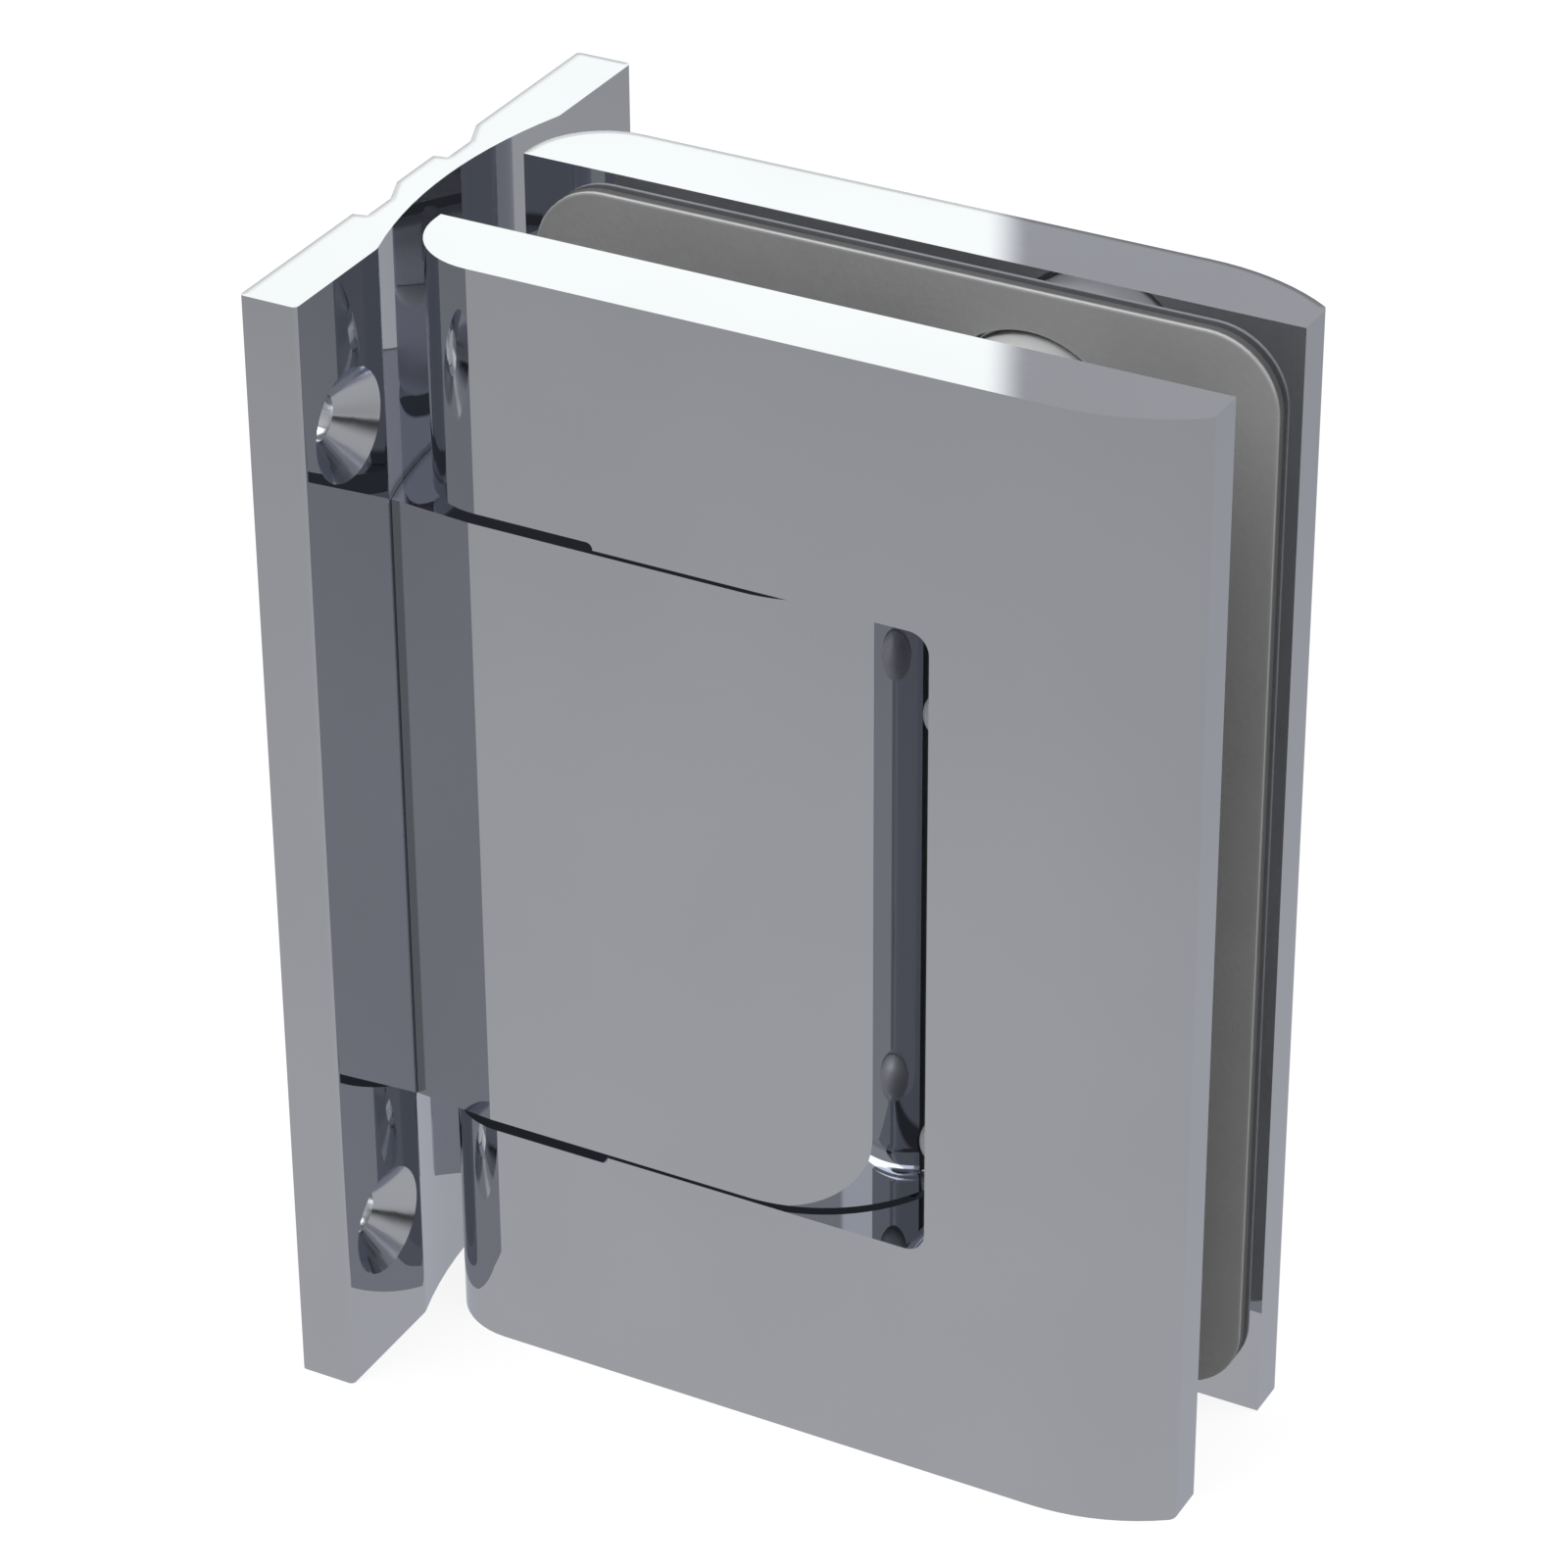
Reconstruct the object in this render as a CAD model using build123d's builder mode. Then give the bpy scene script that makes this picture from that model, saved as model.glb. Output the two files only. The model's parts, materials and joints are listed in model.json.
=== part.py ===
from build123d import *
import os
from math import asin, degrees, hypot, sqrt

# Glass door hinge, wall to glass, in millimetres.
# X points away from the wall, Y runs through the glass, Z is up.
# The origin is the middle of the wall plate's back face.

# Overall height, shared by the wall plate and the clamp plates
hinge_height = 90.0

# Wall plate
wall_width = 46.0
wall_thickness = 4.5
recess_radius = 41.0
recess_depth = 1.95
recess_edge_radius = 1.5
wall_front_edge_radius = 0.4
wall_back_edge_radius = 0.3
wall_hole_from_side = 5.8
wall_hole_from_end = 11.5
wall_hole_diameter = 3.6
wall_sink_diameter = 8.4
sink_angle = 90

# Two grooves in the back of the wall plate
groove_depth = 1.05
groove_steep_run = 0.25
groove_floor = 3.1
groove_slope_run = 2.6
groove_first_start = -8.5
groove_second_start = 2.4

# Sandwich of glass, gaskets and clamp plates
glass_thickness = 9.5
gasket_thickness = 0.95
clamp_thickness = 6.75

# Clamp plates
nose_reach = 13.0
nose_radius = 6.0
swing_clearance = 0.43
clamp_length = 60.6
crown_radius = 17.0
crown_run = 10.1
crown_edge_radius = 0.8
arm_height = 19.5
arm_corner_radius = 1.2
arm_clearance = 0.3
relief_depth = 0.55
relief_past_pivot = 2.5
relief_corner_radius = 0.5
notch_corner_radius = 1.6
notch_wall_clearance = 2.1

# Pivot block, between the arms of the clamp plates
block_reach = 26.6
block_root_inset = 0.55
block_root_run = 6.6
seat_clearance = 0.03

# Pivot pin and its bearings
pin_diameter = 9.0
pin_flat_depth = 0.35
pin_flat_margin = 1.0
pin_end_chamfer = 0.5
bush_wall = 1.5
bush_length = 9.0
running_clearance = 0.05
core_clearance = 0.5
washer_clearance = 0.1
washer_play = 0.1

# Lugs between the plates that hold the pin
lug_height = 7.2
lug_wall = 2.0
lug_overhang = 0.2
lug_corner_radius = 0.6
lug_rear_clearance = 0.1
lug_web_inset = 3.0
slip_clearance = 0.05

# Lock screws in the lugs
lock_from_lug_base = 3.3
lock_screw_diameter = 3.3
lock_screw_length = 5.5
lock_flat_depth = 0.4
lock_flat_height = 5.0
lock_socket_flats = 1.5
lock_socket_depth = 1.5

# Detent: plungers, disc springs and plugs in two cross bores
detent_below_bush = 2.2
plunger_diameter = 9.0
plunger_length = 6.5
plunger_gap = 0.1
plunger_nose_chamfer = 1.2
spigot_length = 5.0
disc_thickness = 1.35
disc_dish = 0.5
disc_bore = 4.2
disc_bedding = 0.05
disc_side_clearance = 0.2
disc_count = 4
plug_diameter = 10.0
plug_length = 6.2
plug_edge_chamfer = 0.4
plug_socket_flats = 5.0
plug_socket_depth = 3.0

# Countersunk screws: shape of every head and tip
head_land = 0.2
head_recess = 0.2
tip_chamfer = 0.5

# Screws from the back of the wall plate into the block
block_screw_diameter = 5.0
block_screw_head = 9.2
block_screw_length = 10.6
block_screw_from_end = 5.7
block_screw_count = 4
block_socket_flats = 3.0
block_socket_depth = 1.8
tip_clearance = 0.3

# Screws and sleeves that clamp the plates on the glass
clamp_screw_from_end = 20.1
clamp_screw_past_notch = 7.8
clamp_screw_diameter = 6.0
clamp_screw_head = 12.0
clamp_screw_clearance = 0.2
clamp_screw_engagement = 5.0
clamp_socket_flats = 4.0
clamp_socket_depth = 2.5
sleeve_wall = 3.5
sleeve_clearance = 0.25

# Gaskets
gasket_inset = 1.35
gasket_corner_radius = 5.5
gasket_notch_radius = 2.0
gasket_sleeve_clearance = 0.5

# Dome pins in the notch wall
dome_pin_diameter = 3.8
dome_pin_depth = 6.0
dome_pin_from_notch_end = 7.8

# Levels and places that follow from the sizes above
half_height = hinge_height / 2
half_width = wall_width / 2
inner_face = glass_thickness / 2 + gasket_thickness
outer_face = inner_face + clamp_thickness
middle_of_clamp = (inner_face + outer_face) / 2
recess_floor_x = wall_thickness - recess_depth
recess_axis_x = recess_floor_x + recess_radius
recess_half_width = sqrt(recess_radius**2 - (recess_radius - recess_depth) ** 2)
nose_sweep = hypot(nose_reach - nose_radius, outer_face - nose_radius) + nose_radius
pivot_x = recess_floor_x + swing_clearance + nose_sweep
clamp_start = pivot_x - nose_reach
clamp_end = clamp_start + clamp_length
block_end = pivot_x + block_reach
notch_wall = block_end + notch_wall_clearance
notch_top = half_height - arm_height
block_top = notch_top - arm_clearance
block_height = 2 * block_top
relief_top = notch_top + relief_depth
relief_end = pivot_x + relief_past_pivot
block_back_radius = recess_radius - seat_clearance
block_root_half_width = outer_face - block_root_inset
block_root_x = recess_axis_x - sqrt(block_back_radius**2 - block_root_half_width**2)
round_end_x = block_end - outer_face
pin_radius = pin_diameter / 2
bush_radius = pin_radius + bush_wall
washer_thickness = relief_top - block_top - washer_play
lug_top = relief_top + lug_height
lug_start = clamp_start - lug_overhang
lock_z = relief_top + lock_from_lug_base
lug_half_width = inner_face - lug_rear_clearance / 2
lug_end = pivot_x + pin_radius + lug_wall
plunger_radius = plunger_diameter / 2
detent_z = block_top - bush_length - detent_below_bush - plunger_radius
pin_flat_half = detent_z + plunger_radius + pin_flat_margin
plunger_nose_x = pivot_x + pin_radius + plunger_gap
plunger_back_x = plunger_nose_x + plunger_length
disc_pitch = disc_thickness + disc_dish - disc_bedding
disc_outer_radius = plunger_radius - disc_side_clearance
stack_end_x = plunger_back_x + disc_count * disc_pitch + disc_bedding
plug_radius = plug_diameter / 2
block_screw_radius = block_screw_diameter / 2
block_screw_head_radius = block_screw_head / 2
block_screw_end_x = head_recess + block_screw_length
block_screw_pitch = (block_height - 2 * block_screw_from_end) / (block_screw_count - 1)
clamp_screw_x = clamp_end - clamp_screw_from_end
clamp_screw_z = notch_top + clamp_screw_past_notch
clamp_screw_radius = clamp_screw_diameter / 2
clamp_screw_head_radius = clamp_screw_head / 2
clamp_screw_face = outer_face - head_recess
clamp_screw_length = clamp_screw_face + inner_face + clamp_screw_engagement
sleeve_bore_radius = clamp_screw_radius + sleeve_clearance
sleeve_radius = sleeve_bore_radius + sleeve_wall
lock_tip_x = pivot_x - pin_radius + lock_flat_depth - slip_clearance
dome_pin_radius = dome_pin_diameter / 2
dome_pin_z = notch_top - dome_pin_from_notch_end

parts_folder = "parts"
os.makedirs(parts_folder, exist_ok=True)


def save(piece, name):
    """Label a finished piece and write it under its own name."""
    piece.label = name
    export_step(piece, f"{parts_folder}/{name}.step")


def groove_points(start):
    """Corners of one shallow groove in the back of the wall plate."""
    floor_start = start + groove_steep_run
    floor_end = floor_start + groove_floor
    return [
        (0, start),
        (groove_depth, floor_start),
        (groove_depth, floor_end),
        (0, floor_end + groove_slope_run),
    ]


def sunk_screw_points(head_radius, shank_radius, length):
    """Half section of a countersunk screw, from its head face to its tip."""
    cone_end = head_land + head_radius - shank_radius
    return [
        (0, 0),
        (0, head_radius),
        (head_land, head_radius),
        (cone_end, shank_radius),
        (length - tip_chamfer, shank_radius),
        (length, shank_radius - tip_chamfer),
        (length, 0),
    ]


def corners_at(outline, x, level):
    """Corners of a flat outline at one x, the same level above and below its middle."""
    corners = outline.vertices().filter_by(lambda corner: abs(corner.X - x) < 0.01)
    return corners.filter_by(lambda corner: abs(abs(corner.Y) - level) < 0.01)


# Wall plate: one section all the way up, then the countersunk holes
with BuildPart() as wall_plate:
    with BuildSketch(Plane.XY.offset(-half_height)) as wall_section:
        with BuildLine():
            Polyline(
                (wall_thickness, -recess_half_width),
                (wall_thickness, -half_width),
                (0, -half_width),
                *groove_points(groove_first_start),
                *groove_points(groove_second_start),
                (0, half_width),
                (wall_thickness, half_width),
                (wall_thickness, recess_half_width),
            )
            ThreePointArc(
                (wall_thickness, recess_half_width),
                (recess_floor_x, 0),
                (wall_thickness, -recess_half_width),
            )
        make_face()
        fillet(corners_at(wall_section, wall_thickness, half_width), wall_front_edge_radius)
        fillet(corners_at(wall_section, 0, half_width), wall_back_edge_radius)
        fillet(corners_at(wall_section, wall_thickness, recess_half_width), recess_edge_radius)
    extrude(amount=hinge_height)
    with Locations(Plane(origin=(wall_thickness, 0, 0), x_dir=(0, 1, 0), z_dir=(1, 0, 0))):
        with GridLocations(
            wall_width - 2 * wall_hole_from_side, hinge_height - 2 * wall_hole_from_end, 2, 2
        ):
            CounterSinkHole(
                radius=wall_hole_diameter / 2,
                counter_sink_radius=wall_sink_diameter / 2,
                counter_sink_angle=sink_angle,
            )
    sink_level = head_recess + head_land
    with Locations(Plane(origin=(sink_level, 0, 0), x_dir=(0, 1, 0), z_dir=(-1, 0, 0))):
        with GridLocations(0, block_screw_pitch, 1, block_screw_count):
            CounterSinkHole(
                radius=block_screw_radius + slip_clearance,
                counter_sink_radius=block_screw_head_radius + slip_clearance,
                counter_sink_angle=sink_angle,
            )
save(wall_plate.part, "wall_plate")

# Pivot block: its back follows the recess, its free end is a half round
with BuildPart() as pivot_block:
    with BuildSketch(Plane.XY.offset(-block_top)):
        with BuildLine():
            ThreePointArc(
                (block_root_x, block_root_half_width),
                (recess_axis_x - block_back_radius, 0),
                (block_root_x, -block_root_half_width),
            )
            Polyline(
                (block_root_x, -block_root_half_width),
                (block_root_x + block_root_run, -outer_face),
                (round_end_x, -outer_face),
            )
            ThreePointArc((round_end_x, -outer_face), (block_end, 0), (round_end_x, outer_face))
            Polyline(
                (round_end_x, outer_face),
                (block_root_x + block_root_run, outer_face),
                (block_root_x, block_root_half_width),
            )
        make_face()
    extrude(amount=block_height)
    with Locations((pivot_x, 0, block_top)):
        CounterBoreHole(
            radius=pin_radius + core_clearance,
            counter_bore_radius=bush_radius,
            counter_bore_depth=bush_length,
            depth=block_height,
        )
    with Locations((pivot_x, 0, -block_top)):
        Cylinder(
            bush_radius,
            bush_length,
            align=(Align.CENTER, Align.CENTER, Align.MIN),
            mode=Mode.SUBTRACT,
        )
    for level in (detent_z, -detent_z):
        with Locations((pivot_x, 0, level)):
            Cylinder(
                plunger_radius + slip_clearance,
                stack_end_x - pivot_x,
                rotation=(0, 90, 0),
                align=(Align.CENTER, Align.CENTER, Align.MIN),
                mode=Mode.SUBTRACT,
            )
        with Locations((stack_end_x, 0, level)):
            Cylinder(
                plug_radius + slip_clearance,
                block_end - stack_end_x,
                rotation=(0, 90, 0),
                align=(Align.CENTER, Align.CENTER, Align.MIN),
                mode=Mode.SUBTRACT,
            )
    with Locations((block_screw_end_x + tip_clearance, 0, 0)):
        with Locations(Plane.YZ):
            with GridLocations(0, block_screw_pitch, 1, block_screw_count):
                Cylinder(
                    block_screw_radius + slip_clearance,
                    block_screw_end_x + tip_clearance,
                    align=(Align.CENTER, Align.CENTER, Align.MAX),
                    mode=Mode.SUBTRACT,
                )
save(pivot_block.part, "pivot_block")

# Screws from the back of the wall plate, numbered from the top
for number in range(block_screw_count):
    level = (block_screw_count - 1) * block_screw_pitch / 2 - number * block_screw_pitch
    with BuildPart() as block_screw:
        with BuildSketch(Plane.XY.offset(level)):
            with Locations((head_recess, 0)):
                Polygon(
                    *sunk_screw_points(
                        block_screw_head_radius, block_screw_radius, block_screw_length
                    ),
                    align=None,
                )
        revolve(axis=Axis((0, 0, level), (1, 0, 0)))
        with BuildSketch(Plane(origin=(head_recess, 0, level), z_dir=(1, 0, 0))):
            RegularPolygon(block_socket_flats / 2, 6, major_radius=False)
        extrude(amount=block_socket_depth, mode=Mode.SUBTRACT)
    save(block_screw.part, f"block_screw_{number + 1}")

# Pivot pin: detent flats at mid length, a lock flat inside each lug
with BuildPart() as pivot_pin:
    with Locations((pivot_x, 0, 0)):
        Cylinder(pin_radius, 2 * lug_top)
        chamfer(pivot_pin.edges().filter_by(GeomType.CIRCLE), pin_end_chamfer)
        with PolarLocations(pin_radius - pin_flat_depth, 4):
            Box(
                2 * pin_flat_depth,
                pin_diameter,
                2 * pin_flat_half,
                align=(Align.MIN, Align.CENTER, Align.CENTER),
                mode=Mode.SUBTRACT,
            )
    lock_flat_x = pivot_x - pin_radius + lock_flat_depth
    with Locations((lock_flat_x, 0, lock_z), (lock_flat_x, 0, -lock_z)):
        Box(
            2 * lock_flat_depth,
            pin_diameter,
            lock_flat_height,
            align=(Align.MAX, Align.CENTER, Align.CENTER),
            mode=Mode.SUBTRACT,
        )
save(pivot_pin.part, "pivot_pin")

# Clamp plate outlines: seen from above, and seen from the side
with BuildSketch() as clamp_plan:
    with BuildLine():
        Polyline(
            (clamp_end, outer_face - crown_radius + sqrt(crown_radius**2 - crown_run**2)),
            (clamp_end, inner_face),
            (clamp_start, inner_face),
            (clamp_start, outer_face - nose_radius),
        )
        CenterArc(
            (clamp_start + nose_radius, outer_face - nose_radius), nose_radius, 180, -90
        )
        Line((clamp_start + nose_radius, outer_face), (clamp_end - crown_run, outer_face))
        CenterArc(
            (clamp_end - crown_run, outer_face - crown_radius),
            crown_radius,
            90,
            -degrees(asin(crown_run / crown_radius)),
        )
    make_face()
    crown_corner = clamp_plan.vertices().group_by(Axis.X)[-1].sort_by(Axis.Y)[-1]
    fillet(crown_corner, crown_edge_radius)

with BuildSketch(Plane.XZ) as clamp_side:
    with Locations((clamp_start, 0)):
        Rectangle(clamp_length, hinge_height, align=(Align.MIN, Align.CENTER))
        Rectangle(
            notch_wall - clamp_start,
            2 * notch_top,
            align=(Align.MIN, Align.CENTER),
            mode=Mode.SUBTRACT,
        )
        Rectangle(
            relief_end - clamp_start,
            2 * relief_top,
            align=(Align.MIN, Align.CENTER),
            mode=Mode.SUBTRACT,
        )
    fillet(corners_at(clamp_side, notch_wall, notch_top), notch_corner_radius)
    fillet(corners_at(clamp_side, relief_end, relief_top), relief_corner_radius)
    fillet(corners_at(clamp_side, clamp_start, relief_top), arm_corner_radius)

# Rear clamp plate, with the countersunk holes of the clamp screws
with BuildPart() as rear_clamp_plate:
    with BuildSketch(Plane.XY.offset(-half_height)):
        add(clamp_plan.sketch)
    extrude(amount=hinge_height)
    with BuildSketch(Plane.XZ):
        add(clamp_side.sketch_local)
    extrude(amount=-outer_face, mode=Mode.INTERSECT)
    sink_level = clamp_screw_face - head_land
    with Locations(Plane(origin=(0, sink_level, 0), x_dir=(1, 0, 0), z_dir=(0, 1, 0))):
        with Locations((clamp_screw_x, clamp_screw_z), (clamp_screw_x, -clamp_screw_z)):
            CounterSinkHole(
                radius=clamp_screw_radius + clamp_screw_clearance,
                counter_sink_radius=clamp_screw_head_radius + slip_clearance,
                counter_sink_angle=sink_angle,
            )
    for level in (dome_pin_z, -dome_pin_z):
        with Locations((notch_wall, middle_of_clamp, level)):
            Cylinder(
                dome_pin_radius + slip_clearance,
                dome_pin_depth,
                rotation=(0, 90, 0),
                align=(Align.CENTER, Align.CENTER, Align.MIN),
                mode=Mode.SUBTRACT,
            )
save(rear_clamp_plate.part, "rear_clamp_plate")

# Front clamp plate: the same outlines mirrored, with the two lugs for the pin
with BuildPart() as front_clamp_plate:
    with BuildSketch(Plane.XY.offset(-half_height)):
        add(mirror(clamp_plan.sketch, about=Plane.XZ))
    extrude(amount=hinge_height)
    with BuildSketch(Plane.XZ):
        add(clamp_side.sketch_local)
    extrude(amount=outer_face, mode=Mode.INTERSECT)
    for lug_base in (relief_top, -lug_top):
        with BuildSketch(Plane.XY.offset(lug_base)) as lug_outline:
            lug_y = lug_half_width - inner_face
            with Locations(((lug_start + lug_end) / 2, lug_y)):
                SlotOverall(lug_end - lug_start, 2 * lug_half_width)
            with Locations((lug_start, lug_y)):
                Rectangle(nose_reach, 2 * lug_half_width, align=(Align.MIN, Align.CENTER))
            lug_corner = lug_outline.vertices().sort_by(Axis.Y)[-2:].sort_by(Axis.X)[0]
            fillet(lug_corner, lug_corner_radius)
            with Locations((clamp_start + lug_web_inset, lug_y)):
                Rectangle(
                    lug_end - clamp_start - 2 * lug_web_inset,
                    middle_of_clamp,
                    align=(Align.MIN, Align.MAX),
                )
        extrude(amount=lug_height)
    with Locations((pivot_x, 0, 0)):
        Cylinder(pin_radius + slip_clearance, hinge_height, mode=Mode.SUBTRACT)
    with Locations((lug_start, 0, lock_z), (lug_start, 0, -lock_z)):
        Cylinder(
            lock_screw_diameter / 2 + slip_clearance,
            nose_reach,
            rotation=(0, 90, 0),
            align=(Align.CENTER, Align.CENTER, Align.MIN),
            mode=Mode.SUBTRACT,
        )
    for level in (clamp_screw_z, -clamp_screw_z):
        with Locations((clamp_screw_x, -inner_face, level)):
            Cylinder(
                clamp_screw_radius + slip_clearance,
                clamp_screw_engagement + tip_clearance,
                rotation=(90, 0, 0),
                align=(Align.CENTER, Align.CENTER, Align.MIN),
                mode=Mode.SUBTRACT,
            )
    for level in (dome_pin_z, -dome_pin_z):
        with Locations((notch_wall, -middle_of_clamp, level)):
            Cylinder(
                dome_pin_radius + slip_clearance,
                dome_pin_depth,
                rotation=(0, 90, 0),
                align=(Align.CENTER, Align.CENTER, Align.MIN),
                mode=Mode.SUBTRACT,
            )
save(front_clamp_plate.part, "front_clamp_plate")

# Gaskets on the inner faces, open round the block, the lugs and the sleeves
with BuildSketch(Plane.XZ) as gasket_side:
    with Locations((clamp_start + gasket_inset, 0)):
        Rectangle(
            clamp_length - 2 * gasket_inset,
            hinge_height - 2 * gasket_inset,
            align=(Align.MIN, Align.CENTER),
        )
    fillet(gasket_side.vertices(), gasket_corner_radius)
    with Locations((clamp_start, 0)):
        Rectangle(
            notch_wall + gasket_inset - clamp_start,
            2 * (notch_top + gasket_inset),
            align=(Align.MIN, Align.CENTER),
            mode=Mode.SUBTRACT,
        )
        Rectangle(
            lug_end + gasket_inset - clamp_start,
            2 * (lug_top + gasket_inset),
            align=(Align.MIN, Align.CENTER),
            mode=Mode.SUBTRACT,
        )
    notch_corners = corners_at(gasket_side, notch_wall + gasket_inset, notch_top + gasket_inset)
    fillet(notch_corners, gasket_notch_radius)
    with Locations((clamp_screw_x, clamp_screw_z), (clamp_screw_x, -clamp_screw_z)):
        Circle(sleeve_radius + gasket_sleeve_clearance, mode=Mode.SUBTRACT)

for name, side in (("front", -1), ("rear", 1)):
    with BuildPart() as gasket:
        with BuildSketch(Plane.XZ.offset(-side * inner_face)):
            add(gasket_side.sketch_local)
        extrude(amount=side * gasket_thickness)
    save(gasket.part, f"{name}_gasket")

# Dome pins: the dome stands out of the notch wall towards the block
for name, side in (("front", -1), ("rear", 1)):
    for end, level in (("upper", dome_pin_z), ("lower", -dome_pin_z)):
        with BuildPart() as dome_pin:
            with Locations((notch_wall, side * middle_of_clamp, level)):
                Cylinder(
                    dome_pin_radius,
                    dome_pin_depth,
                    rotation=(0, 90, 0),
                    align=(Align.CENTER, Align.CENTER, Align.MIN),
                )
                Sphere(dome_pin_radius)
        save(dome_pin.part, f"{name}_{end}_dome_pin")

# Pieces that come once above and once below the middle
for end, side in (("upper", 1), ("lower", -1)):
    outward = (0, 0, side)

    with BuildPart() as bush:
        with BuildSketch(Plane((pivot_x, 0, side * block_top), z_dir=outward)):
            Circle(bush_radius)
            Circle(pin_radius + running_clearance, mode=Mode.SUBTRACT)
        extrude(amount=-bush_length)
    save(bush.part, f"{end}_bush")

    with BuildPart() as thrust_washer:
        with BuildSketch(Plane((pivot_x, 0, side * block_top), z_dir=outward)):
            Circle(bush_radius)
            Circle(pin_radius + washer_clearance, mode=Mode.SUBTRACT)
        extrude(amount=washer_thickness)
    save(thrust_washer.part, f"{end}_thrust_washer")

    with BuildPart() as clamp_sleeve:
        with BuildSketch(Plane.XZ.offset(-inner_face)):
            with Locations((clamp_screw_x, side * clamp_screw_z)):
                Circle(sleeve_radius)
                Circle(sleeve_bore_radius, mode=Mode.SUBTRACT)
        extrude(amount=2 * inner_face)
    save(clamp_sleeve.part, f"{end}_clamp_sleeve")

    screw_head = Plane(
        (clamp_screw_x, clamp_screw_face, side * clamp_screw_z),
        x_dir=(0, -1, 0),
        z_dir=(0, 0, 1),
    )
    with BuildPart() as clamp_screw:
        with BuildSketch(screw_head):
            Polygon(
                *sunk_screw_points(
                    clamp_screw_head_radius, clamp_screw_radius, clamp_screw_length
                ),
                align=None,
            )
        revolve(axis=Axis(screw_head.origin, (0, -1, 0)))
        with BuildSketch(Plane(screw_head.origin, x_dir=(1, 0, 0), z_dir=(0, -1, 0))):
            RegularPolygon(clamp_socket_flats / 2, 6, major_radius=False)
        extrude(amount=clamp_socket_depth, mode=Mode.SUBTRACT)
    save(clamp_screw.part, f"{end}_clamp_screw")

    lock_start = lock_tip_x - lock_screw_length
    lock_radius = lock_screw_diameter / 2
    with BuildPart() as lock_screw:
        with BuildSketch(Plane.XY.offset(side * lock_z)):
            with Locations((lock_start, 0)):
                Polygon(
                    (0, 0),
                    (0, lock_radius),
                    (lock_screw_length - tip_chamfer, lock_radius),
                    (lock_screw_length, lock_radius - tip_chamfer),
                    (lock_screw_length, 0),
                    align=None,
                )
        revolve(axis=Axis((0, 0, side * lock_z), (1, 0, 0)))
        with BuildSketch(Plane((lock_start, 0, side * lock_z), z_dir=(1, 0, 0))):
            RegularPolygon(lock_socket_flats / 2, 6, major_radius=False)
        extrude(amount=lock_socket_depth, mode=Mode.SUBTRACT)
    save(lock_screw.part, f"{end}_lock_screw")

    bore_axis = Axis((0, 0, side * detent_z), (1, 0, 0))
    spigot_radius = disc_bore / 2 - slip_clearance
    with BuildPart() as plunger:
        with BuildSketch(Plane.XY.offset(side * detent_z)):
            with Locations((plunger_nose_x, 0)):
                Polygon(
                    (0, 0),
                    (0, plunger_radius - plunger_nose_chamfer),
                    (plunger_nose_chamfer, plunger_radius),
                    (plunger_length, plunger_radius),
                    (plunger_length, spigot_radius),
                    (plunger_length + spigot_length, spigot_radius),
                    (plunger_length + spigot_length, 0),
                    align=None,
                )
        revolve(axis=bore_axis)
    save(plunger.part, f"{end}_detent_plunger")

    with BuildPart() as disc_springs:
        with BuildSketch(Plane.XY.offset(side * detent_z)):
            for count in range(disc_count):
                inner_lift = disc_dish * (count % 2)
                outer_lift = disc_dish - inner_lift
                with Locations((plunger_back_x + count * disc_pitch, 0)):
                    Polygon(
                        (inner_lift, disc_bore / 2),
                        (inner_lift + disc_thickness, disc_bore / 2),
                        (outer_lift + disc_thickness, disc_outer_radius),
                        (outer_lift, disc_outer_radius),
                        align=None,
                    )
        revolve(axis=bore_axis)
    save(disc_springs.part, f"{end}_disc_springs")

    with BuildPart() as spring_plug:
        with BuildSketch(Plane.XY.offset(side * detent_z)):
            with Locations((stack_end_x, 0)):
                Polygon(
                    (0, 0),
                    (0, plug_radius - plug_edge_chamfer),
                    (plug_edge_chamfer, plug_radius),
                    (plug_length - plug_edge_chamfer, plug_radius),
                    (plug_length, plug_radius - plug_edge_chamfer),
                    (plug_length, 0),
                    align=None,
                )
        revolve(axis=bore_axis)
        with BuildSketch(Plane((stack_end_x + plug_length, 0, side * detent_z), z_dir=(1, 0, 0))):
            RegularPolygon(plug_socket_flats / 2, 6, major_radius=False)
        extrude(amount=-plug_socket_depth, mode=Mode.SUBTRACT)
    save(spring_plug.part, f"{end}_spring_plug")
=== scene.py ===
import json
import math

import bmesh
import bpy
from mathutils import Matrix, Vector


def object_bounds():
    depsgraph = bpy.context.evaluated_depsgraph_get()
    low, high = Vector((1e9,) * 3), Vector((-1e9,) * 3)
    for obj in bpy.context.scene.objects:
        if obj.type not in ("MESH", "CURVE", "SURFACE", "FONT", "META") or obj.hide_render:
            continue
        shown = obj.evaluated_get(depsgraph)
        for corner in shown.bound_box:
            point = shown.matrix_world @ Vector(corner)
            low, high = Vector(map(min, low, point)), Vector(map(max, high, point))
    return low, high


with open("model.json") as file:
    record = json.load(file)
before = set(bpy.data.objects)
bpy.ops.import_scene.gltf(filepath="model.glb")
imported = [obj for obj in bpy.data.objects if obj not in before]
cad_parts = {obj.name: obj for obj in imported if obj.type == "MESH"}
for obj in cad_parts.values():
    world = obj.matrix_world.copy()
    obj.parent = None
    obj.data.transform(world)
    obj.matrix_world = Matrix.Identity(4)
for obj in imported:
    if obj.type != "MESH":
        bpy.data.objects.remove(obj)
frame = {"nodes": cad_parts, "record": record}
cad_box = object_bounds()
nodes = frame["nodes"]
scene = bpy.context.scene

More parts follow.
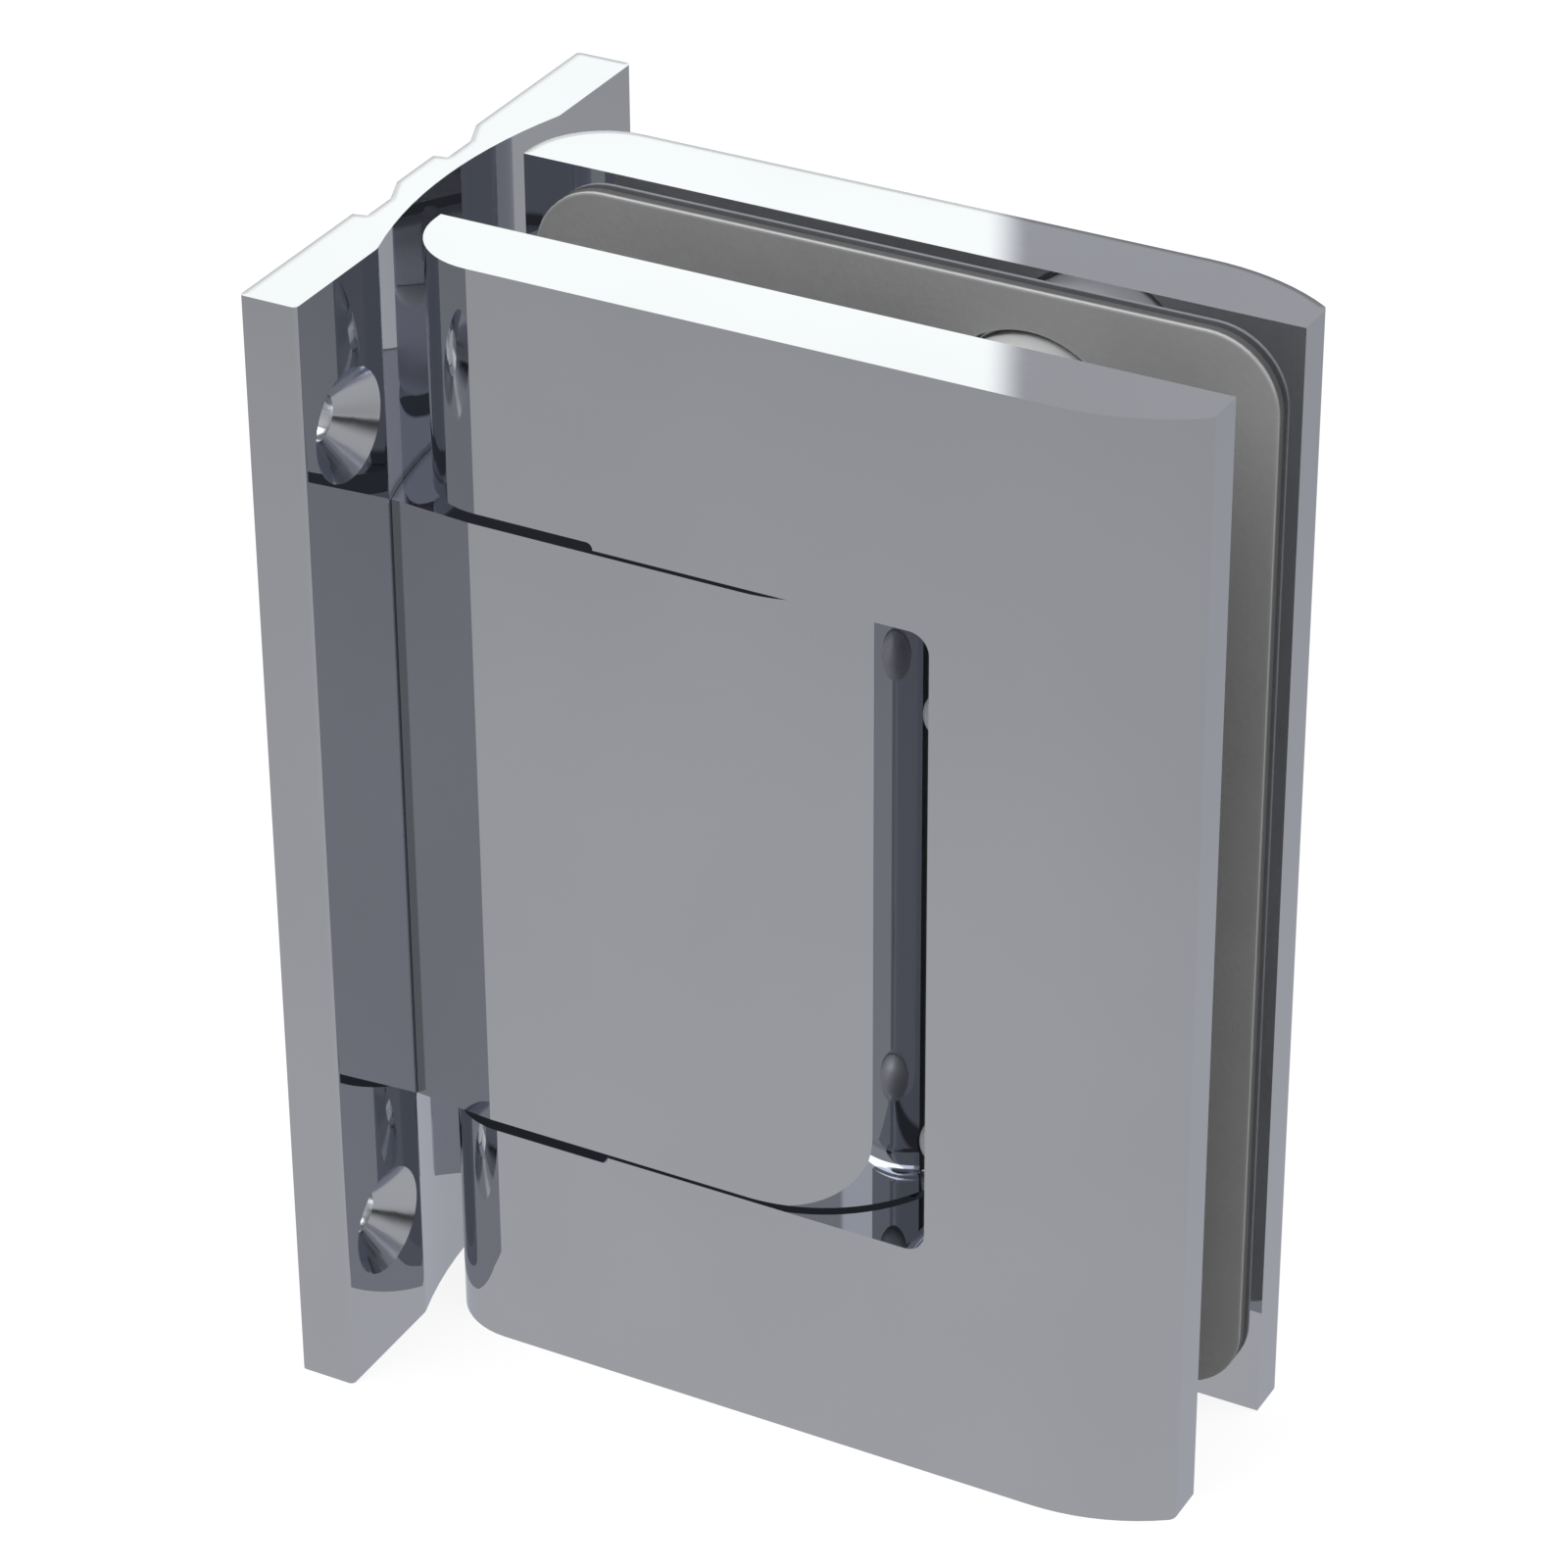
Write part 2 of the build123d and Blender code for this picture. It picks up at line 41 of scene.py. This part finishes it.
# Colours, as linear values
WHITE = (1.0, 1.0, 1.0, 1.0)
BLACK = (0.0, 0.0, 0.0, 1.0)
CHROME = (0.470, 0.482, 0.517, 1.0)
CHROME_SHEEN = (0.820, 0.830, 0.900, 1.0)
# Colour of the painted grey glow that metal gives back in deep mirrors
DEEP_MIRROR_GLOW = (0.960, 0.980, 1.000, 1.0)
GASKET = (0.310, 0.310, 0.312, 1.0)
# Gasket edge tones: a painted highlight on the lip, a painted sideways light on the rim and painted shade
# beside the plate
GASKET_LIP_HIGHLIGHT = (0.600, 0.600, 0.610, 1.0)
GASKET_RIM = (0.340, 0.340, 0.345, 1.0)
GASKET_RIM_SHADE = (0.130, 0.130, 0.130, 1.0)
NYLON = (0.680, 0.685, 0.690, 1.0)
STEEL = (0.440, 0.445, 0.460, 1.0)
SATIN = (0.520, 0.525, 0.540, 1.0)
LUG = (0.900, 0.900, 0.920, 1.0)
DARK_STEEL = (0.060, 0.060, 0.064, 1.0)
BRONZE = (0.420, 0.270, 0.110, 1.0)
FLOOR_DARK = (0.780, 0.780, 0.780, 1.0)
FLOOR_LIGHT = (0.820, 0.820, 0.820, 1.0)
PANEL_TINT = (1.000, 1.010, 0.930, 1.0)

# Places on the hinge that the materials use, in metres from the middle of the wall plate's back
HALF_WIDTH, HALF_HEIGHT = cad_box[1][1], cad_box[1][2]
HOLE_ACROSS = HALF_WIDTH - 0.0058
HOLE_UP = HALF_HEIGHT - 0.0115
HOLE_REACH = 0.00425
WALL_PLATE_FRONT = 0.00449
WALL_PLATE_BACK = 0.0015
BLOCK_TOP = 0.0252
SEAM_INNER, SEAM_OUTER = 0.01250, 0.01268
LUG_END = 0.025
LUG_LOW, LUG_HIGH = 0.0262, 0.0334
CLAMP_INNER_FACE = -0.00565
GLASS_FACE = 0.00475

# Tones and roughness on the metal, two of the tones painted shade: each tone is a share of the metal's
# own, and each roughness is added to it
DIM_TONE = 0.975
# The next tone is a painted shadow on the wall plate beside the block's root
SEAM_SHADOW_TONE = 0.58
# The next tone is a painted darker reflection along the far edges of flat tops
PAINTED_EDGE_REFLECTION_TONE = 0.36
EDGE_RADIUS = 0.0007
EDGE_LEAN = (0.02, 0.05)
FAR_SIDE = (-0.6, 0.8, 0.0)
UPWARD = 0.7
LUG_ROUGHNESS = 0.36
HOLE_ROUGHNESS = 0.14
GRAIN_DEPTH = 0.0001

# Noise in the materials: scale and detail, and the span of the noise over which a tone changes
METAL_CLOUDS = (55.0, 2.0)
METAL_MARKS_DETAIL, METAL_MARKS_ROUGHNESS = 5.0, 0.62
METAL_MARKS_SPAN = (0.35, 0.75)
MOULDED_CLOUDS = (90.0, 3.0)
MOULDED_GRAIN_DETAIL = 4.0
MOULDED_GRAIN_SPAN, MOULDED_GRAIN_DARKENING = (0.2, 0.8), 0.6
MOULDED_ROUGHNESS_SPAN = (0.3, 0.7)
MOULDED_SMOOTHER, MOULDED_ROUGHER = 0.06, 0.08
MOULDED_GLOSS = 0.35
FLOOR_CLOUDS = (40.0, 2.0)
CLOUD_SPAN = (0.3, 0.7)

# Mirrors past the last one that the render follows glow a plain grey as a painted reflection: glow tones
# by the width of the gap, in metres, with painted shade in narrow gaps
LAST_TRACED_MIRROR = 2.5
NARROW_GAP, WIDE_GAP = 0.0016, 0.0029
NARROW_GAP_TONE, WIDE_GAP_TONE = 0.14, 0.55

# The gasket's edge: how far the painted lip highlight rounds it, in metres, and how much of the rim is in
# painted shade
LIP_RADIUS = 0.00035
LIP_MATCH = (0.92, 0.985)
LIP_RISE = (0.1, 0.6)
RIM_SHADE = (0.00015, 0.0004)
SIDEWAYS = 0.5

# Camera: found from the corners of the plates in the photograph, in degrees and millimetres,
# apart from the nearest distance that it sees, in metres
CAMERA_AZIMUTH, CAMERA_ELEVATION, CAMERA_ROLL = 28.306, 30.765, -0.346
CAMERA_DISTANCE, CAMERA_SIDE, CAMERA_RISE = 432.071, 25.815, -4.896
FOCAL_LENGTH_PIXELS = 5900.1
PHOTO_PIXELS = 1600.0
SENSOR_WIDTH = 36.0
NEAREST_SEEN = 0.01
MILLIMETRES_IN_A_METRE = 1000.0

# Floor, in metres from its middle, which is about under the middle of the hinge
MIDDLE = (0.03, 0.0, 0.0)
FLOOR_RADIUS, FLOOR_SIDES = 4.0, 64
FLOOR_GAP = 0.00002
# The near tones are a painted pool of light that the metal mirrors, brightest just under the hinge
FLOOR_NEAR, FLOOR_NEAR_GLOW_TONES = (0.03, 0.22), (0.69, 0.56)
FLOOR_FAR, FLOOR_FAR_TONE = (0.5, 2.5), 0.44
FLOOR_WHITE = 1.1
FLOOR_WHITE_SHARE = 0.8

# The studio that the metal mirrors. Angles are in degrees: round the hinge from -Y towards +X,
# and up from level. Each pair is where a change starts and ends
BACK_PANEL_START = (-154.42, -153.92)
BACK_PANEL_FADE, BACK_PANEL_TONES = (-110.0, -80.0), (1.36, 0.24)
BACK_PANEL_END = (-40.0, -25.0)
BACK_PANEL_RISE = (4.0, 12.0)
BACK_PANEL_WARMTH = 0.735
RIGHT_PANEL_START, RIGHT_PANEL_TONE = (37.0, 41.0), 0.6
RIGHT_PANEL_END = (58.0, 75.0)
RIGHT_PANEL_RISE = (26.0, 31.0)
OVERHEAD_START, OVERHEAD_TONE = (55.0, 60.0), 4.2
OVERHEAD_END = (72.0, 78.0)
HORIZON = (-8.0, 3.0)
ROOM_TONE, GROUND_TONE = 0.645, 0.9
DARK_SIDE_START = (38.0, 46.0)
DARK_SIDE_END = (74.0, 88.0)
DARK_SIDE_BELOW_LEVEL = 4.0
DARK_SIDE_SPREAD, DARK_SIDE_DEPTH = (8.0, 30.0), 0.94
MATTE_LIGHT = 0.75


class Nodes:
    """A node tree with short calls for adding and linking nodes."""

    def __init__(self, tree):
        self.tree = tree
        tree.nodes.clear()

    def add(self, kind, inputs=None, **settings):
        node = self.tree.nodes.new(kind)
        for key, value in settings.items():
            setattr(node, key, value)
        for key, value in (inputs or {}).items():
            if isinstance(value, bpy.types.NodeSocket):
                self.tree.links.new(value, node.inputs[key])
            else:
                node.inputs[key].default_value = value
        return node

    def math(self, operation, first, second=0.0):
        return self.add("ShaderNodeMath", {0: first, 1: second}, operation=operation).outputs[0]

    def product(self, first, *others):
        for other in others:
            first = self.math("MULTIPLY", first, other)
        return first

    def one_minus(self, value):
        return self.math("SUBTRACT", 1.0, value)

    def vector_math(self, operation, first, second=(0.0, 0.0, 0.0)):
        return self.add("ShaderNodeVectorMath", {0: first, 1: second}, operation=operation).outputs

    def split(self, vector):
        """The X, Y and Z of a vector."""
        return self.add("ShaderNodeSeparateXYZ", {0: vector}).outputs

    def place(self):
        """The place on the piece, in metres in the hinge's own frame."""
        return self.add("ShaderNodeTexCoord").outputs["Object"]

    def flat_normal(self):
        return self.add("ShaderNodeNewGeometry").outputs["True Normal"]

    def rounded_normal(self, radius):
        """The normal as it would be if the edges were rounded by this radius."""
        return self.add("ShaderNodeBevel", {"Radius": radius}, samples=4).outputs[0]

    def mix_colour(self, factor, first, second):
        node = self.add("ShaderNodeMix", {0: factor, 6: first, 7: second}, data_type="RGBA")
        return node.outputs[2]

    def mix_value(self, factor, first, second):
        return self.add("ShaderNodeMix", {0: factor, 2: first, 3: second}).outputs[0]

    def ramp(self, value, low, high, from_value=0.0, to_value=1.0, smooth=True):
        node = self.add(
            "ShaderNodeMapRange",
            {0: value, 1: low, 2: high, 3: from_value, 4: to_value},
            interpolation_type="SMOOTHSTEP" if smooth else "LINEAR",
        )
        return node.outputs[0]

    def angle_ramp(self, angle, start_and_end, from_value=0.0, to_value=1.0):
        """A smooth change between two angles that are given in degrees."""
        start, end = (math.radians(degrees) for degrees in start_and_end)
        return self.ramp(angle, start, end, from_value, to_value)

    def noise(self, scale, detail=3.0, stretch=None, roughness=0.5):
        place = self.place()
        if stretch:
            place = self.add("ShaderNodeMapping", {"Vector": place, "Scale": stretch}).outputs[0]
        inputs = {"Vector": place, "Scale": scale, "Detail": detail, "Roughness": roughness}
        return self.add("ShaderNodeTexNoise", inputs).outputs["Fac"]

    def grain(self, height, strength):
        inputs = {"Height": height, "Strength": strength, "Distance": GRAIN_DEPTH}
        return self.add("ShaderNodeBump", inputs).outputs[0]

    def seen_in_mirror(self, path):
        """One for a ray that comes from a mirror or through glass."""
        return self.math("MAXIMUM", path["Is Glossy Ray"], path["Is Transmission Ray"])


def material(name):
    """A new material with an empty node tree."""
    made = bpy.data.materials.new(name)
    made.use_nodes = True
    return made, Nodes(made.node_tree)


def finish_surface(kit, shader):
    """Link a shader to the material's output."""
    kit.add("ShaderNodeOutputMaterial", {"Surface": shader})


def toned(colour, share):
    """A colour times a share, with its alpha left at one."""
    return tuple(value * share for value in colour[:3]) + (1.0,)


def paint_deep_mirror_glow(made, kit, inputs):
    """Let the fourth mirror in a row, and those past it, glow a plain grey as a painted reflection, darker
    in narrow gaps as painted shade.
    """
    path = kit.add("ShaderNodeLightPath").outputs
    deep = kit.math("GREATER_THAN", path["Glossy Depth"], LAST_TRACED_MIRROR)
    tone = kit.ramp(path["Ray Length"], NARROW_GAP, WIDE_GAP, NARROW_GAP_TONE, WIDE_GAP_TONE)
    # Painted reflection: black base and a grey glow past the last traced mirror, dimmer in narrow gaps as
    # painted shade
    inputs["Base Color"] = kit.mix_colour(deep, inputs["Base Color"], BLACK)
    inputs["Emission Color"] = DEEP_MIRROR_GLOW
    inputs["Emission Strength"] = kit.product(deep, tone)
    made.cycles.emission_sampling = "NONE"


def painted_edge_reflection_mask(kit):
    """One along the far edge of a flat top, where a painted darker reflection stands in for a rounded
    edge, and nought elsewhere.
    """
    flat = kit.flat_normal()
    change = kit.vector_math("SUBTRACT", kit.rounded_normal(EDGE_RADIUS), flat)["Vector"]
    lean = kit.vector_math("DOT_PRODUCT", change, FAR_SIDE)["Value"]
    top = kit.math("GREATER_THAN", kit.split(flat)["Z"], UPWARD)
    return kit.product(kit.ramp(lean, *EDGE_LEAN), top)


def lug_mask(kit):
    """One on the lugs between the plates, which are satin, and nought elsewhere."""
    place = kit.split(kit.place())
    height = kit.math("ABSOLUTE", place["Z"])
    return kit.product(
        kit.math("LESS_THAN", place["X"], LUG_END),
        kit.math("GREATER_THAN", place["Y"], CLAMP_INNER_FACE),
        kit.math("GREATER_THAN", height, LUG_LOW),
        kit.math("LESS_THAN", height, LUG_HIGH),
    )


def hole_mask(kit):
    """One in the four countersunk holes of the wall plate, which are left as turned."""
    place = kit.split(kit.place())
    across = kit.math("SUBTRACT", kit.math("ABSOLUTE", place["Y"]), HOLE_ACROSS)
    along = kit.math("SUBTRACT", kit.math("ABSOLUTE", place["Z"]), HOLE_UP)
    offset = kit.add("ShaderNodeCombineXYZ", {0: across, 1: along}).outputs[0]
    reach = kit.vector_math("LENGTH", offset)["Value"]
    return kit.product(
        kit.math("LESS_THAN", reach, HOLE_REACH),
        kit.math("LESS_THAN", place["X"], WALL_PLATE_FRONT),
    )


def seam_shade(kit):
    """Brightness of the wall plate's front beside the block's root, darkened there by a painted shadow
    along the seam.
    """
    place = kit.split(kit.place())
    across = kit.math("ABSOLUTE", place["Y"])
    beside = kit.ramp(across, SEAM_INNER, SEAM_OUTER, SEAM_SHADOW_TONE, 1.0)
    level = kit.product(
        kit.math("LESS_THAN", kit.math("ABSOLUTE", place["Z"]), BLOCK_TOP),
        kit.math("GREATER_THAN", place["X"], WALL_PLATE_BACK),
    )
    return kit.math("ADD", kit.product(level, beside), kit.one_minus(level))


def metal(
    name, colour, roughness, spread, marks, stretch=None, bump=0.0, edges=False, lugs=False, holes=False
):
    """A metal with slightly uneven polish, faint marks, a hair of tone variation and a painted grey glow
    in deep mirrors, and where asked a painted darker far edge and a painted seam shadow.
    """
    made, kit = material(name)
    broad = kit.noise(*METAL_CLOUDS)
    fine = kit.noise(marks, METAL_MARKS_DETAIL, stretch, METAL_MARKS_ROUGHNESS)
    rough = kit.ramp(fine, *METAL_MARKS_SPAN, roughness, roughness + spread)
    shade = kit.mix_colour(kit.ramp(broad, *CLOUD_SPAN), toned(colour, DIM_TONE), colour)
    if lugs:
        satin_here = lug_mask(kit)
        rough = kit.math("ADD", rough, kit.product(satin_here, LUG_ROUGHNESS))
        shade = kit.mix_colour(satin_here, shade, LUG)
    if holes:
        rough = kit.math("ADD", rough, kit.product(hole_mask(kit), HOLE_ROUGHNESS))
        # Painted shadow on the wall plate's front beside the block's root
        shade = kit.mix_colour(seam_shade(kit), BLACK, shade)
    if edges:
        # Painted reflection: a darker line along the far edge of flat tops
        shade = kit.mix_colour(painted_edge_reflection_mask(kit), shade, toned(colour, PAINTED_EDGE_REFLECTION_TONE))
    inputs = {
        "Base Color": shade,
        "Roughness": rough,
        "Metallic": 1.0,
        "Specular Tint": CHROME_SHEEN,
    }
    # Painted reflection: a grey glow in deep mirrors
    paint_deep_mirror_glow(made, kit, inputs)
    if bump:
        inputs["Normal"] = kit.grain(fine, bump)
    finish_surface(kit, kit.add("ShaderNodeBsdfPrincipled", inputs).outputs[0])
    return made


def gasket_edge(kit, tone):
    """The gasket's tone with a painted highlight on the lip, and painted shade on the half of the rim
    beside the plate.
    """
    flat = kit.flat_normal()
    rounded = kit.rounded_normal(LIP_RADIUS)
    match = kit.vector_math("DOT_PRODUCT", rounded, flat)["Value"]
    near_edge = kit.ramp(match, *LIP_MATCH, 1.0, 0.0)
    side = kit.math("LESS_THAN", kit.math("ABSOLUTE", kit.split(flat)["Y"]), SIDEWAYS)
    # Painted highlight: the rim is lighter where the rounded edge faces up
    lip = kit.mix_colour(kit.ramp(kit.split(rounded)["Z"], *LIP_RISE), GASKET_RIM, GASKET_LIP_HIGHLIGHT)
    tone = kit.mix_colour(kit.math("MAXIMUM", near_edge, side), tone, lip)
    from_glass = kit.math("SUBTRACT", kit.math("ABSOLUTE", kit.split(kit.place())["Y"]), GLASS_FACE)
    # Painted shade on the rim's half beside the plate
    shaded = kit.product(side, kit.ramp(from_glass, *RIM_SHADE))
    return kit.mix_colour(shaded, tone, GASKET_RIM_SHADE)


def moulded(name, colour, roughness, grain, bump, fleck, rim=False):
    """A matte moulded or sheet material with a fine grain and slight mottling."""
    made, kit = material(name)
    fine = kit.noise(grain, MOULDED_GRAIN_DETAIL)
    broad = kit.noise(*MOULDED_CLOUDS)
    dark = toned(colour, 1.0 - fleck)
    tone = kit.mix_colour(kit.ramp(broad, *CLOUD_SPAN), dark, colour)
    darker = kit.ramp(fine, *MOULDED_GRAIN_SPAN, 0.0, MOULDED_GRAIN_DARKENING)
    tone = kit.mix_colour(darker, tone, dark)
    # Painted highlight on the gasket's lip and painted shade on its rim
    if rim:
        tone = gasket_edge(kit, tone)
    smoothest, roughest = roughness - MOULDED_SMOOTHER, roughness + MOULDED_ROUGHER
    inputs = {
        "Base Color": tone,
        "Roughness": kit.ramp(fine, *MOULDED_ROUGHNESS_SPAN, smoothest, roughest),
        "Specular IOR Level": MOULDED_GLOSS,
        "Normal": kit.grain(fine, bump),
    }
    finish_surface(kit, kit.add("ShaderNodeBsdfPrincipled", inputs).outputs[0])
    return made


polish = {"colour": CHROME, "roughness": 0.012, "spread": 0.02, "marks": 900.0}
chrome = metal("polished_chrome", **polish, edges=True)
lugged = metal("polished_chrome_with_satin_lugs", **polish, lugs=True)
drilled = metal("polished_chrome_with_turned_holes", **polish, edges=True, holes=True)
steel = metal("polished_steel", CHROME, roughness=0.03, spread=0.05, marks=1500.0, bump=0.03)
satin = metal("satin_steel", SATIN, roughness=0.58, spread=0.10, marks=1800.0, bump=0.05)
ground = metal(
    "ground_steel",
    STEEL,
    roughness=0.18,
    spread=0.16,
    marks=2600.0,
    stretch=(1.0, 1.0, 0.08),
    bump=0.25,
)
dark = metal("oiled_steel", DARK_STEEL, roughness=0.3, spread=0.2, marks=1800.0, bump=0.2)
bronze = metal(
    "turned_bronze",
    BRONZE,
    roughness=0.2,
    spread=0.15,
    marks=2400.0,
    stretch=(0.1, 0.1, 1.0),
    bump=0.3,
)
gasket = moulded("gasket_sheet", GASKET, roughness=0.62, grain=2200.0, bump=0.35, fleck=0.10, rim=True)
nylon = moulded("satin_nylon", NYLON, roughness=0.42, grain=1400.0, bump=0.15, fleck=0.05)

finishes = {
    "chromed_brass": chrome,
    "bright_steel": steel,
    "ground_steel": ground,
    "dark_steel": dark,
    "bronze": bronze,
    "grey_gasket": gasket,
    "light_nylon": nylon,
}
special = {"front_clamp_plate": lugged, "wall_plate": drilled}
for part in frame["record"]["subparts"]:
    name = part["node"]
    finish = satin if "dome_pin" in name else finishes[part["material_slot"]]
    mesh = nodes[name].data
    mesh.materials.clear()
    mesh.materials.append(special.get(name, finish))


def add_camera():
    """The camera that took the photograph."""
    azimuth, elevation, roll = (
        math.radians(angle) for angle in (CAMERA_AZIMUTH, CAMERA_ELEVATION, CAMERA_ROLL)
    )
    back = Vector(
        (
            math.sin(azimuth) * math.cos(elevation),
            -math.cos(azimuth) * math.cos(elevation),
            math.sin(elevation),
        )
    )
    level_right = Vector((0, 0, 1)).cross(back).normalized()
    level_up = back.cross(level_right)
    right = level_right * math.cos(roll) + level_up * math.sin(roll)
    up = -level_right * math.sin(roll) + level_up * math.cos(roll)
    eye = back * CAMERA_DISTANCE + right * CAMERA_SIDE + up * CAMERA_RISE
    data = bpy.data.cameras.new("camera")
    data.sensor_width = SENSOR_WIDTH
    data.lens = FOCAL_LENGTH_PIXELS / PHOTO_PIXELS * SENSOR_WIDTH
    data.clip_start = NEAREST_SEEN
    camera = bpy.data.objects.new("camera", data)
    turned = Matrix((right, up, back)).transposed()
    camera.matrix_world = Matrix.Translation(eye / MILLIMETRES_IN_A_METRE) @ turned.to_4x4()
    scene.collection.objects.link(camera)
    scene.camera = camera


def floor_material():
    """White to the camera apart from the shadow, and to the metal a painted glow, pale with a painted pool
    of light just under the hinge, and white far off.
    """
    made, kit = material("pale_floor")
    path = kit.add("ShaderNodeLightPath").outputs
    reach = kit.vector_math("LENGTH", kit.place())["Value"]
    near = kit.ramp(reach, *FLOOR_NEAR, *FLOOR_NEAR_GLOW_TONES, smooth=False)
    far = kit.product(kit.ramp(reach, *FLOOR_FAR), FLOOR_FAR_TONE)
    tone = kit.math("ADD", near, far)
    seen = kit.add("ShaderNodeEmission", {"Color": WHITE, "Strength": FLOOR_WHITE}).outputs[0]
    # Painted glow seen in mirrors, brighter just under the hinge
    glow_in_mirror = kit.add("ShaderNodeEmission", {"Color": WHITE, "Strength": tone}).outputs[0]
    pale = kit.mix_colour(kit.noise(*FLOOR_CLOUDS), FLOOR_DARK, FLOOR_LIGHT)
    lit = kit.add("ShaderNodeBsdfDiffuse", {"Color": pale}).outputs[0]
    to_camera = kit.add("ShaderNodeMixShader", {0: FLOOR_WHITE_SHARE, 1: lit, 2: seen}).outputs[0]
    other = kit.add("ShaderNodeMixShader", {0: kit.seen_in_mirror(path), 1: lit, 2: glow_in_mirror}).outputs[0]
    shader = kit.add("ShaderNodeMixShader", {0: path["Is Camera Ray"], 1: other, 2: to_camera})
    finish_surface(kit, shader.outputs[0])
    return made


def add_floor():
    """A wide pale floor under the hinge."""
    mesh = bpy.data.meshes.new("floor")
    disc = bmesh.new()
    bmesh.ops.create_circle(disc, cap_ends=True, segments=FLOOR_SIDES, radius=FLOOR_RADIUS)
    disc.to_mesh(mesh)
    disc.free()
    mesh.materials.append(floor_material())
    floor = bpy.data.objects.new("floor", mesh)
    floor.location = (MIDDLE[0], MIDDLE[1], cad_box[0][2] - FLOOR_GAP)
    scene.collection.objects.link(floor)


def add_world():
    """A white studio: white to the camera, and bright panels and pale walls to the metal."""
    world = bpy.data.worlds.new("studio")
    world.use_nodes = True
    scene.world = world
    kit = Nodes(world.node_tree)
    path = kit.add("ShaderNodeLightPath").outputs
    toward = kit.split(kit.add("ShaderNodeTexCoord").outputs["Generated"])
    around = kit.math("ARCTAN2", toward["X"], kit.product(toward["Y"], -1.0))
    rise = kit.math("ARCSINE", toward["Z"])
    back_panel = kit.product(
        kit.angle_ramp(around, BACK_PANEL_START),
        kit.angle_ramp(around, BACK_PANEL_FADE, *BACK_PANEL_TONES),
        kit.angle_ramp(around, BACK_PANEL_END, 1.0, 0.0),
        kit.angle_ramp(rise, BACK_PANEL_RISE),
    )
    right_panel = kit.product(
        kit.angle_ramp(around, RIGHT_PANEL_START, 0.0, RIGHT_PANEL_TONE),
        kit.angle_ramp(around, RIGHT_PANEL_END, 1.0, 0.0),
        kit.angle_ramp(rise, RIGHT_PANEL_RISE),
    )
    overhead = kit.product(
        kit.angle_ramp(rise, OVERHEAD_START, 0.0, OVERHEAD_TONE),
        kit.angle_ramp(rise, OVERHEAD_END, 1.0, 0.0),
    )
    panels = kit.math("ADD", back_panel, right_panel)
    upper = kit.math("ADD", panels, kit.math("ADD", overhead, ROOM_TONE))
    above = kit.angle_ramp(rise, HORIZON)
    ground_light = kit.product(kit.one_minus(above), GROUND_TONE)
    tone = kit.math("ADD", kit.product(above, upper), ground_light)
    from_dark = kit.math("ABSOLUTE", kit.math("ADD", rise, math.radians(DARK_SIDE_BELOW_LEVEL)))
    dark_side = kit.product(
        kit.angle_ramp(around, DARK_SIDE_START),
        kit.angle_ramp(around, DARK_SIDE_END, 1.0, 0.0),
        kit.angle_ramp(from_dark, DARK_SIDE_SPREAD, DARK_SIDE_DEPTH, 0.0),
    )
    tone = kit.product(tone, kit.one_minus(dark_side))
    in_mirror = kit.seen_in_mirror(path)
    level = kit.mix_value(in_mirror, MATTE_LIGHT, tone)
    level = kit.mix_value(path["Is Camera Ray"], level, 1.0)
    warm = kit.product(back_panel, BACK_PANEL_WARMTH, in_mirror)
    tint = kit.mix_colour(warm, WHITE, PANEL_TINT)
    background = kit.add("ShaderNodeBackground", {"Color": tint, "Strength": level})
    kit.add("ShaderNodeOutputWorld", {"Surface": background.outputs[0]})


def add_light(name, place, size, power):
    """A round soft light aimed at the hinge, which the metal doesn't mirror."""
    data = bpy.data.lights.new(name, "AREA")
    data.shape = "DISK"
    data.size = size
    data.energy = power
    light = bpy.data.objects.new(name, data)
    light.location = place
    light.rotation_euler = (Vector(MIDDLE) - Vector(place)).to_track_quat("-Z", "Y").to_euler()
    light.visible_glossy = False
    light.visible_camera = False
    scene.collection.objects.link(light)


add_camera()
add_floor()
add_world()
add_light("key_light", place=(-0.5, -0.9, 1.2), size=0.9, power=9.0)
add_light("fill_light", place=(0.9, 0.6, 1.0), size=0.9, power=5.0)

scene.view_settings.view_transform = "Standard"
